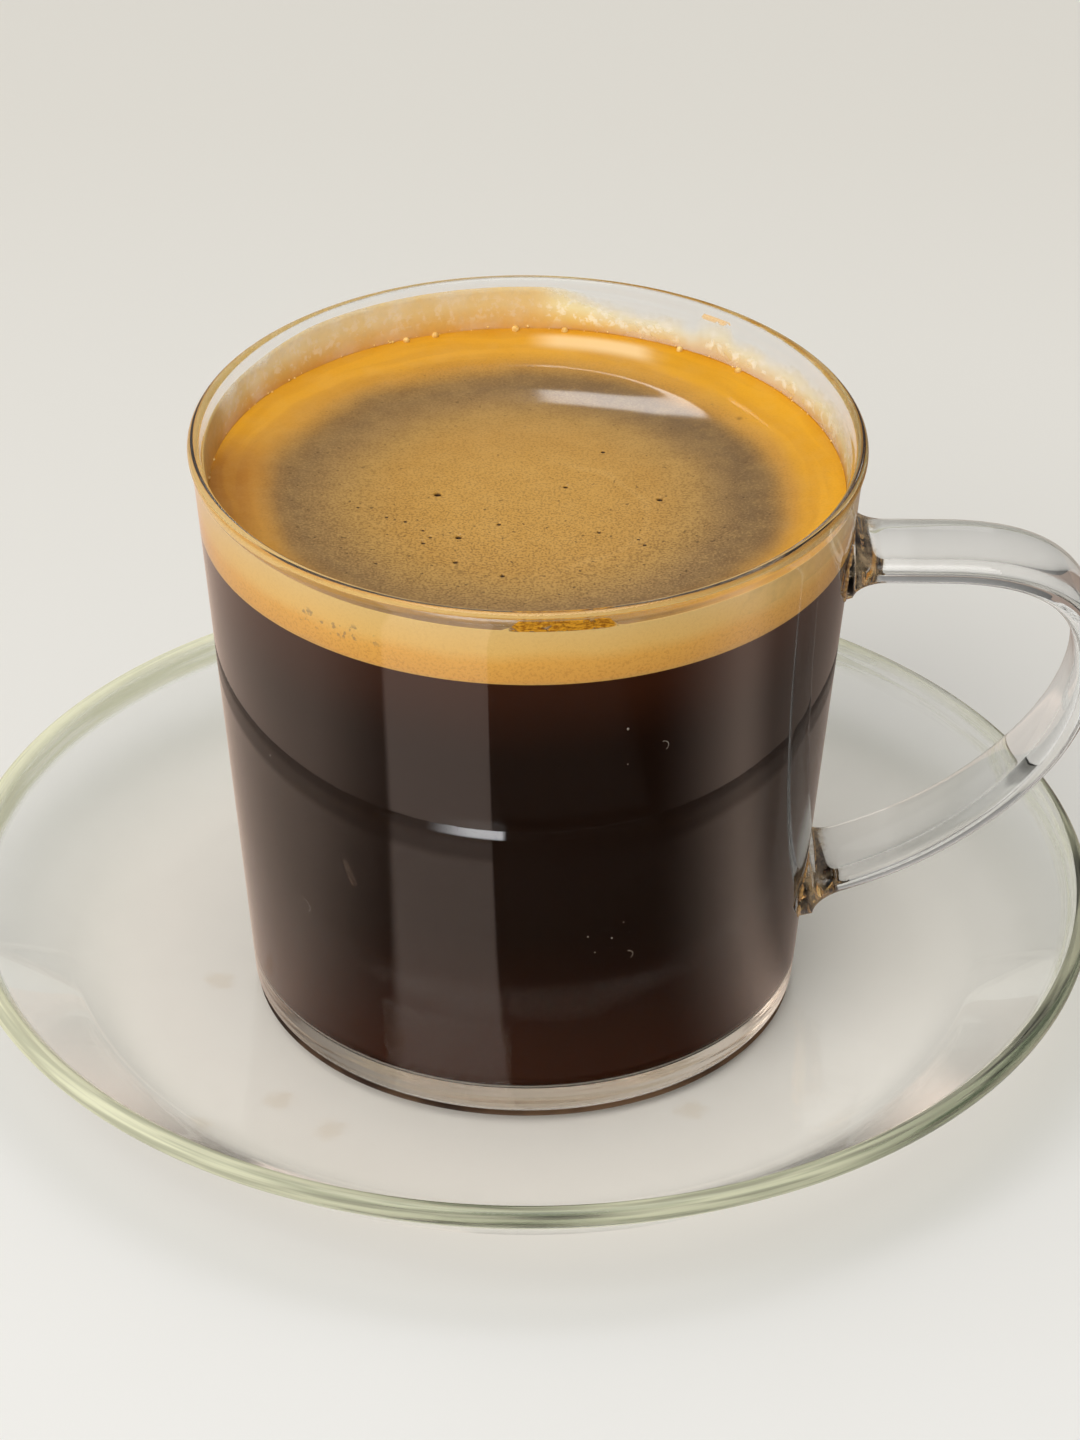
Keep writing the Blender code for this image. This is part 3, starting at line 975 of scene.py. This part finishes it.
def shoulder_table():
    """Heights of the slow rise, by adding up its slope from the middle outwards."""
    heights = [0.0]
    step = RELIEF_REACH / RELIEF_STEPS
    for index in range(RELIEF_STEPS):
        radius = (index + 0.5) * step
        climb = min(max((radius - SLOPE_START) / (SLOPE_FULL - SLOPE_START), 0.0), 1.0)
        slope = SLOPE_TOP * climb * (1.0 - eased(radius, SHOULDER_START, SHOULDER_END))
        fade = max(0.0, 1.0 - (radius - WALL_FULL) / WALL_FADE)
        slope += WALL_SLOPE * eased(radius, WALL_START, WALL_FULL) * fade
        heights.append(heights[-1] + math.tan(slope) * step)
    return heights


SHOULDER = shoulder_table()


def shoulder_rise(radius):
    place = min(radius / RELIEF_REACH * RELIEF_STEPS, RELIEF_STEPS - 1.001)
    index = int(place)
    return SHOULDER[index] + (SHOULDER[index + 1] - SHOULDER[index]) * (place - index)


def flatter(x):
    """How much of the slow rise is lost towards the right."""
    share = min(max((x - RIGHT_START) / RIGHT_REACH, 0.0), 1.4)
    bend = share * share if share < 0.9 else 0.81 + 1.8 * (share - 0.9) - 1.8 * (share - 0.9) ** 2
    return RIGHT_FLATTER * bend


def skin_height(x, y):
    """Height of the foam's skin above its level."""
    radius = math.hypot(x, y)
    curl = CREMA_CURL * math.exp(-max(0.0, CREMA_EDGE - radius) / CREMA_CURL_REACH)
    lost = flatter(x)
    regained = SHOULDER[-1] * lost * eased(radius, SHOULDER_END, CREMA_EDGE)
    ripple = 0.006 * MM * noise.noise(Vector((x, y, 0.0)) / (6 * MM))
    return curl - CREMA_SINK + shoulder_rise(radius) * (1.0 - lost) + regained + ripple


print("the foam rises", round(SHOULDER[-1] / MM, 2), "mm towards the wall")

# %% Crema mesh
CREMA_RINGS = 80


def refine(bm, x, y, radius):
    """Split the faces round one pinhole into a finer patch."""
    spot = Vector((x, y))
    near = []
    for face in bm.faces:
        centre = face.calc_center_median()
        if centre.z > CUP_FOOT + CREMA_TOP - MM and (centre.xy - spot).length < radius + 0.5 * MM:
            near.append(face)
    edges = list({edge for face in near for edge in face.edges})
    bmesh.ops.subdivide_edges(bm, edges=edges, cuts=3, use_grid_fill=True)


def crema_mesh():
    rings = [CREMA_EDGE - inward * MM for inward in (0.0, 0.1, 0.2, 0.35, 0.55, 0.8, 1.1, 1.5, 2.0)]
    inner = rings[-1]
    rings += [inner * (1 - step / CREMA_RINGS) for step in range(1, CREMA_RINGS)]
    level = CREMA_TOP + MM
    side = wall_line(lambda h: inner_radius(h) + WETTING, CREMA_BOTTOM, CREMA_TOP, 6)
    outline = [(0.0, CREMA_BOTTOM)] + side + [(r, level) for r in rings] + [(0.0, level)]
    bm = turned_mesh(raised(outline, CUP_FOOT))
    for x, y, radius in PINHOLES:
        refine(bm, x * MM, y * MM, radius * MM)
    pit = bm.verts.layers.float.new("pit")
    for vert in bm.verts:
        if vert.co.z < CUP_FOOT + level - 0.01 * MM:
            continue
        x, y = vert.co.xy
        vert.co.z = CUP_FOOT + CREMA_TOP + skin_height(x, y)
        for hole_x, hole_y, radius in PINHOLES:
            far = math.hypot(x - hole_x * MM, y - hole_y * MM) / (radius * MM)
            if far < 2.0:
                dent = math.exp(-far ** 4)
                vert.co.z -= dent * radius * MM * 1.2
                vert[pit] = max(vert[pit], dent)
    return bm


# %% Crema finish
ZONE_COLOURS = (
    (0.0, (199, 151, 70)), (0.22, (198, 150, 70)), (0.40, (188, 142, 68)), (0.50, (177, 137, 72)),
    (0.60, (152, 118, 70)), (0.67, (136, 106, 66)), (0.72, (142, 108, 62)), (0.80, (200, 145, 56)),
    (0.87, (224, 162, 44)), (0.95, (226, 164, 36)), (1.0, (218, 154, 26)),
)
BAND_COLOURS = ((0.0, (214, 162, 88)), (0.07, (226, 166, 80)), (0.28, (234, 174, 84)),
                (0.46, (236, 190, 110)), (1.0, (236, 202, 136)))
ZONE_REACH = 40 * MM
# painted highlight: where the pale patch at the back lies
BACK_HIGHLIGHT_RING = (mm(32.6, 34.6), mm(37.0, 35.6))
BACK_HIGHLIGHT_STRETCH = (mm(-1, 4), mm(16, 13))
BROWN_SPOT = Vector((25.4, 17.0, 70.4)) * MM
CREMA_LEVEL = CUP_FOOT + CREMA_TOP
SWIRL_MIDDLE = mm(2, -5)
SWIRL_RADIUS = 12 * MM
BAND_LOW = CUP_FOOT + CREMA_BOTTOM
BAND_HIGH = CUP_FOOT + CUP_HEIGHT - LIP_ROUND


def band_colour(finish, point, z):
    """Colour of the foam where it lies against the glass, from the coffee up to the lip."""
    cloud = (finish.noise(point, 150.0, 3.0) - 0.5) * 1.6 * MM
    level = finish.step(z + cloud, BAND_LOW, BAND_HIGH, "LINEAR")
    grain = finish.step(finish.noise(point, 3000.0, 3.0, 0.6), 0.46, 0.66)
    coarse = grain * (finish.step(level, 0.55, 0.1) * 0.24 + 0.08)
    return finish.blend(coarse, finish.ramp(painted(BAND_COLOURS), level), paint(176, 110, 44))


def zone_colour(crema, point, x, y):
    """Colour of the foam's top by its distance from the middle."""
    across = x - ZONE_MIDDLE[0]
    along = y - ZONE_MIDDLE[1]
    far = (across * across + along * along) ** 0.5
    wander = (crema.noise(point, 90.0) - 0.5) * 3.4 * MM
    zone = (far + wander) / ZONE_REACH
    base = crema.ramp(painted(ZONE_COLOURS), zone)
    ring = crema.window(zone, (0.50, 0.62), (0.80, 0.72))
    away = crema.step(x * 0.8 + y * 0.4, 2 * MM, 24 * MM)
    ringed = crema.blend(ring * away * 0.45, base, paint(100, 78, 52))
    amber = crema.step(x, -28 * MM, -35 * MM) * crema.step(y, 14 * MM, 4 * MM)
    streaks = crema.noise(crema.point(zone * 26.0, x * 60.0, y * 60.0), 1.0)
    banded = crema.step(streaks, 0.4, 0.62) * crema.step(zone, 0.74, 0.84)
    return crema.blend(amber * 0.75 + banded * 0.16, ringed, paint(168, 108, 32))


def swirl_share(crema, point, x, y):
    """A faint pale arc left where the pour stopped."""
    across = x - SWIRL_MIDDLE[0]
    along = y - SWIRL_MIDDLE[1]
    bend = (crema.noise(point, 160.0) - 0.5) * 2.4 * MM
    off = (across * across + along * along) ** 0.5 - SWIRL_RADIUS + bend
    return crema.step(off * off, 0.36 * MM * MM, 0.04 * MM * MM) * crema.step(across, 0.0, 5 * MM)


def grained_colour(crema, point, x, y, radius, fine):
    """The zones with their swirl, under a grain of fine bubbles that shows most in front."""
    zones = zone_colour(crema, point, x, y)
    swirled = crema.blend(swirl_share(crema, point, x, y) * 0.22, zones, paint(216, 172, 98))
    inside = crema.step(radius, 33 * MM, 27 * MM) * 0.85 + 0.15
    forward = (crema.step(y, 20 * MM, -22 * MM) * 0.55 + 0.35) * inside
    grained = crema.blend(crema.step(fine, 0.50, 0.60) * forward * 0.62, swirled, paint(104, 74, 38))
    dots = crema.step(crema.noise(point, 1500.0, 1.0), 0.70, 0.76)
    speckled = crema.blend(dots * forward, grained, paint(70, 46, 22))
    grains = crema.step(fine, 0.46, 0.36) * forward
    cloud = crema.step(crema.noise(point, 300.0, 4.0, 0.6), 0.35, 0.7)
    return crema.blend(cloud * 0.10 + grains * 0.20, speckled, paint(228, 186, 112))


def marked_colour(crema, point, x, y, radius, plain):
    """The foam's colour with a painted highlight at the back, one brown spot and the pinholes."""
    # painted highlight: a pale patch near the back wall
    patch = crema.window(radius, *BACK_HIGHLIGHT_RING) * crema.window(x, *BACK_HIGHLIGHT_STRETCH) * crema.step(y, 0.0, MM)
    pale = crema.blend(patch * 0.75, plain, paint(255, 222, 168))
    brown = near_spots(crema, point, [BROWN_SPOT], 0.7 * MM)
    spotted = crema.blend(brown * 0.8, pale, paint(96, 58, 22))
    return crema.blend(crema.step(crema.own("pit"), 0.15, 0.7), spotted, paint(48, 28, 10))


def wet_share(crema, x, y, radius):
    """How strongly the skin shines: most at the back, less on the left, not near the right wall."""
    outer = crema.step(radius, 31 * MM, 33 * MM)
    right = outer * crema.step(x, 15.5 * MM, 17.5 * MM)
    left = crema.step(x, -4 * MM, -14 * MM)
    back = outer * crema.step(y, 15 * MM, 25 * MM)
    return (0.44 - left * 0.16 + back * 0.5) * (1.0 - right)


def crema_finish():
    crema = Finish("golden_crema")
    point = crema.place()
    x, y, z = crema.axes(point)
    radius = (x * x + y * y) ** 0.5
    fine = crema.noise(point, 3300.0, 2.0, 0.6)
    grained = grained_colour(crema, point, x, y, radius, fine)
    top = marked_colour(crema, point, x, y, radius, grained)
    below = crema.step(z, CREMA_LEVEL + 0.5 * MM, CREMA_LEVEL + 0.2 * MM)
    side = crema.step(radius, CREMA_EDGE - 0.7 * MM, CREMA_EDGE - 0.45 * MM) * below
    crema.set(Base_Color=crema.blend(side, top, band_colour(crema, point, z)), Roughness=0.5,
              Specular_IOR_Level=0.1, Coat_Weight=wet_share(crema, x, y, radius) * (1.0 - side),
              Coat_Roughness=0.045)
    crema.bump(fine, 0.010 * MM)
    return crema.material


def build_crema():
    return dress(new_object("golden_crema", crema_mesh(), crema_finish(), 60), "crema", "crema")


def light_only(lamp, piece):
    """Let a lamp reach one piece and no other."""
    chosen = bpy.data.collections.new(lamp.name)
    chosen.objects.link(piece)
    lamp.light_linking.receiver_collection = chosen


light_only(back_window, build_crema())

# %% [markdown]
# ## Foam on the glass
# When the cup was moved, foam ran up the inside of the wall and dried to a skin. In
# front and on the left it is thick and hides what is behind it, and at the back it is a
# thin veil with flaky edges, with a faint painted glow for the light behind it. Above it
# two short stretches of brown residue cling to the lip. It is a turned ring of two faces,
# one just inside the glass and one a hair in front of it. Its height changes round the
# cup, and a mask of noise in its alpha makes the flakes, which would take far too many
# faces otherwise.
# %% Foam film
FILM_TOPS = ((-180, 73.2), (-150, 73.2), (-115, 72.4), (-60, 71.8), (-25, 71.4), (-3.2, 71.2),
             (-2.2, 72.55), (13.5, 72.55), (16.0, 71.2), (31, 71.2), (64, 70.6), (108, 72.2),
             (139, 71.6), (140.5, 73.2), (146, 73.2), (147.5, 71.5), (158, 71.5), (180, 73.2))
FILM_COVERS = ((-180, 0.78), (-115, 0.74), (-78, 1.0), (24, 1.0), (64, 0.88), (100, 0.50),
               (150, 0.40), (170, 0.60), (180, 0.78))
STAINS = ((-2.6, 15.2, 71.35 * MM), (140.0, 147.0, 72.6 * MM))
FILM_CONTACT = 67.9 * MM
FILM_HIGHEST = 73.25 * MM
FILM_SKIN = 0.05 * MM
FILM_ROWS = 12
# painted light: how strongly the thin veil at the back glows
BACKLIT = 0.22
VEIL_COLOURS = ((0.0, (190, 130, 20)), (0.08, (208, 152, 34)), (0.26, (222, 184, 84)),
                (0.60, (234, 220, 160)), (1.0, (220, 198, 134)))
BACK_HALF = (0.0, 5 * MM)
SPECK_MIDDLE = Vector((-21.7, -29.6, 70.2)) * MM
SPECK_HEIGHTS = (mm(1.6, 0.8), mm(-1.4, -0.6))


def round_cup(table, turn):
    """Value at a turn in degrees, eased between the pairs of a table."""
    for (start, low), (end, high) in zip(table, table[1:]):
        if turn <= end:
            return low + (high - low) * eased(turn, start, end)
    return table[-1][1]


def on_wall(radius_at, turn, height, out=0.0):
    """A point on the wall: the turn goes from -Y towards +X, and out is away from the axis."""
    turn = math.radians(turn)
    radius = radius_at(height) + out
    return Vector((radius * math.sin(turn), -radius * math.cos(turn), height + CUP_FOOT))


def film_mesh():
    outer = wall_line(lambda h: inner_radius(h) + WETTING + 0.03 * MM, CREMA_BOTTOM, FILM_CONTACT, 4)
    outer += wall_line(lambda h: inner_radius(h) + WETTING, FILM_CONTACT, FILM_HIGHEST, FILM_ROWS)[1:]
    inner = wall_line(lambda h: inner_radius(h) - FILM_SKIN, FILM_HIGHEST, CREMA_BOTTOM, FILM_ROWS + 4)
    bm = turned_mesh(raised(outer + inner, CUP_FOOT), closed=True)
    climb = bm.verts.layers.float.new("climb")
    cover = bm.verts.layers.float.new("cover")
    for vert in bm.verts:
        x, y, z = vert.co
        turn = math.degrees(math.atan2(x, -y))
        height = z - CUP_FOOT
        out = math.hypot(x, y) - inner_radius(height)
        vert[cover] = round_cup(FILM_COVERS, turn)
        vert[climb] = (height - FILM_CONTACT) / (FILM_HIGHEST - FILM_CONTACT)
        if vert[climb] > 0.0:
            top = min(round_cup(FILM_TOPS, turn) * MM + 0.3 * MM, FILM_HIGHEST)
            height = FILM_CONTACT + (top - FILM_CONTACT) * vert[climb]
            vert.co = on_wall(inner_radius, turn, height, out)
    return bm


def film_colour(film, point, z, climb, thin):
    """Thick foam looks as on the band; a thin veil is gold at its foot and pale above."""
    band = band_colour(film, point, z)
    fleck = film.step(film.noise(point, 900.0, 3.0, 0.65), 0.50, 0.62)
    middle = film.window(climb, (0.12, 0.38), (0.95, 0.65))
    flecked = film.blend(fleck * middle * 0.7, film.ramp(painted(VEIL_COLOURS), climb), paint(250, 244, 222))
    return film.blend(thin, band, flecked)


def speck_share(film, point, z):
    """Small grey bubbles that show the dark coffee, in one patch at the front left."""
    near = film.step(film.distance(point, SPECK_MIDDLE), 8 * MM, 5 * MM)
    specks = film.step(film.noise(point, 1100.0), 0.56, 0.64)
    return near * specks * film.window(z - SPECK_MIDDLE.z, *SPECK_HEIGHTS)


def stain_share(film, turn, z):
    """1 on the brown residue that has dried above the foam, in two short stretches."""
    shares = []
    for start, end, low in STAINS:
        across = film.window(turn, (start - 0.6, start + 1.4), (end + 0.8, end - 3.0))
        shares.append(across * film.step(z, CUP_FOOT + low, CUP_FOOT + low + 0.25 * MM))
    return sum(shares)


def stain_colour(film, x, y, z):
    """Clots of two browns in front, and one pale brown at the back."""
    clots = film.noise(film.point(x, y, z * 2.5), 1700.0, 3.0, 0.7)
    amber = film.blend(film.step(clots, 0.40, 0.64), paint(228, 162, 40), paint(156, 94, 14))
    return film.blend(film.step(y, *BACK_HALF), amber, paint(226, 182, 96))


def film_cover(film, point, climb, cover, thin):
    """How much the foam hides: all of it where thick, and worn to flakes where thin."""
    flake = film.noise(point, 640.0, 4.0, 0.65)
    slow = film.noise(point, 110.0)
    worn = film.step(1.0 - climb + (flake - 0.5) * 0.6 + (slow - 0.5) * 0.7, -0.12, 0.28)
    cloud = film.step(film.noise(point, 200.0, 3.0), 0.25, 0.70)
    veil = cover * (cloud * 0.36 + 0.78) - thin * film.step(climb, 0.2, 0.9) * 0.30
    foot = film.math("MAXIMUM", film.step(climb, 0.05, 0.0), veil)
    solid = film.math("MAXIMUM", foot, film.step(cover, 0.88, 0.97))
    return solid * (1.0 - thin * (1.0 - worn))


def film_finish():
    film = Finish("dried_foam")
    point = film.place()
    x, y, z = film.axes(point)
    climb = film.own("climb")
    cover = film.own("cover")
    thin = film.step(cover, 0.90, 0.62)
    at_back = film.step(y, *BACK_HALF)
    stain = stain_share(film, film.math("ARCTAN2", x, y * -1.0) * math.degrees(1.0), z)
    foam = film_colour(film, point, z, climb, thin)
    specked = film.blend(speck_share(film, point, z) * 0.55, foam, paint(132, 108, 92))
    colour = film.blend(film.step(stain, 0.02, 0.3), specked, stain_colour(film, x, y, z))
    bare = film.step(stain, 0.0, 0.1)
    gaps = film.noise(point, 1100.0) + stain * 0.12
    caked = film.step(gaps, 0.44, 0.54) * bare * (1.0 - at_back * 0.6)
    share = film_cover(film, point, climb, cover, thin) * (1.0 - bare) + caked
    lets_light_in = film.ray("Is Shadow Ray") * at_back
    # painted light: the thin veil at the back glows a little, for the light behind it
    lit = film.blend(film.step(y, 4 * MM, 24 * MM) * thin, BLACK, colour)
    film.set(Base_Color=colour, Roughness=0.6, Specular_IOR_Level=0.12, Emission_Color=lit,
             Emission_Strength=BACKLIT, Alpha=film.clamp(share * (1.0 - lets_light_in)))
    return film.material


def build_film():
    return dress(new_object("foam_film", film_mesh(), film_finish(), 80), "crema")


build_film()

# %% [markdown]
# ## Bubbles, residue and lint
# Six large bubbles sit where the foam meets the wall at the back, with many small ones
# all round. Coffee has dried to amber grains round both handle welds, and the outside
# of the wall has specks of lint and a thin smear. All of these are small lumps, so one
# helper places icospheres on the wall, flattened against it, and a random generator
# with a fixed seed spreads the ones that nobody would place by hand.
# %% Lumps on the wall


def lump(bm, spot, size, flat=1.0, tall=1.0, detail=2):
    """A small ball on the wall; flat squeezes it against the wall, tall stretches it upwards."""
    turn = math.atan2(spot.x, -spot.y)
    squeeze = Matrix.Diagonal((1.0, flat, tall, 1.0))
    place = Matrix.Translation(spot) @ Matrix.Rotation(turn, 4, "Z") @ squeeze
    bmesh.ops.create_icosphere(bm, subdivisions=detail, radius=size, matrix=place)


def grain_finish(name, light, dark, roughness, alpha=1.0):
    """Dried drops: two colours that change over a fraction of a millimetre."""
    grain = Finish(name)
    patches = grain.step(grain.noise(grain.place(), 2200.0, 2.0), 0.4, 0.6)
    grain.set(Base_Color=grain.blend(patches, light, dark), Roughness=roughness,
              Specular_IOR_Level=0.5, Coat_Weight=0.6, Coat_Roughness=0.1, Alpha=alpha)
    return grain.material


# %% Bubbles
BUBBLE_TURNS = (-23.7, -17.9, -2.5, 6.8, 29.7, 43.1)
BUBBLE_HEIGHT = 67.95 * MM
SMALL_BUBBLES = 90


def build_bubbles():
    rng = random.Random(11)
    bm = bmesh.new()
    for turn in BUBBLE_TURNS:
        lump(bm, on_wall(inner_radius, 180 - turn, BUBBLE_HEIGHT, -0.3 * MM), rng.uniform(0.38, 0.52) * MM)
    for _ in range(SMALL_BUBBLES):
        size = rng.uniform(0.08, 0.2) * MM
        height = FILM_CONTACT + rng.uniform(-0.05, 0.35) * MM
        lump(bm, on_wall(inner_radius, rng.uniform(-180, 180), height, -0.05 * MM), size, detail=1)
    bubbles = grain_finish("foam_bubbles", paint(248, 216, 140), paint(232, 184, 96), 0.12)
    return dress(new_object("foam_bubbles", bm, bubbles, 80), "crema")


build_bubbles()

# %% Residue
WELD_GRAINS = 110


def build_weld_residue():
    """Grains of dried coffee on an oval round each root of the handle."""
    rng = random.Random(9)
    bm = bmesh.new()
    half_width = HANDLE_WIDTH / 2 + 0.7 * HANDLE_FLARE
    half_thick = HANDLE_THICKNESS / 2 + 0.8 * HANDLE_FLARE
    for root in (HANDLE_TOP, HANDLE_ROOT_HEIGHT):
        for _ in range(WELD_GRAINS):
            angle = rng.uniform(0, math.tau)
            height = root + half_thick * rounded(math.sin(angle))
            across = half_width * rounded(math.cos(angle))
            turn = 90 + math.degrees(math.asin(across / outer_radius(height)))
            lump(bm, on_wall(outer_radius, turn, height), rng.uniform(0.18, 0.52) * MM, 0.5, 1.4, 1)
    brown = grain_finish("weld_residue", paint(214, 168, 98), paint(150, 104, 56), 0.3)
    return dress(new_object("weld_residue", bm, brown, 80), "crema")


build_weld_residue()

# %% Lint
SPECKS = ((17.8, 59.8, 0.14), (18.1, 54.7, 0.07), (12.1, 29.9, 0.08), (16.8, 29.2, 0.08),
          (13.6, 27.4, 0.06), (19.0, 31.3, 0.06), (-54.0, 46.4, 0.07))
HAIRS = ((24.6, 56.3, 0.7), (20.3, 26.2, 0.6), (-47.6, 26.6, 0.9))
HAIR_BALLS = 17
HAIR_WIDTH = 0.045 * MM
SMEAR_BALLS = 9
SMEAR_START = (-35.6, 33.6 * MM)
SMEAR_STEP = (0.22, -0.34 * MM)
DROP = (28.5, 4.2 * MM)


def hair(bm, turn, height, radius):
    """A curl of lint: a short arc of small balls that overlap."""
    for step in range(HAIR_BALLS):
        angle = math.radians(-50 + 9 * step)
        side = math.degrees(radius * math.cos(angle) / outer_radius(height))
        lift = radius * math.sin(angle)
        lump(bm, on_wall(outer_radius, turn + side, height + lift), HAIR_WIDTH, 0.6, detail=1)


def build_lint():
    bm = bmesh.new()
    for turn, z, size in SPECKS:
        lump(bm, on_wall(outer_radius, turn, z * MM - CUP_FOOT), size * MM, 0.5, 1.3)
    for turn, z, radius in HAIRS:
        hair(bm, turn, z * MM - CUP_FOOT, radius * MM)
    lint = grain_finish("pale_lint", paint(186, 174, 162), paint(136, 122, 110), 0.7)
    return dress(new_object("lint_specks", bm, lint, 80), "cup_glass")


def build_smear():
    """A slanting smear of thin flat drops, and one drop low on the right."""
    bm = bmesh.new()
    for step in range(SMEAR_BALLS):
        turn, height = (start + each * step for start, each in zip(SMEAR_START, SMEAR_STEP))
        lump(bm, on_wall(outer_radius, turn, height), 0.5 * MM, 0.05)
    lump(bm, on_wall(outer_radius, *DROP), 0.5 * MM, 0.06, 0.8)
    tan = grain_finish("tan_smear", paint(104, 82, 64), paint(74, 50, 36), 0.6, 0.12)
    return dress(new_object("wall_smear", bm, tan, 80), "cup_glass")


build_lint()
build_smear()
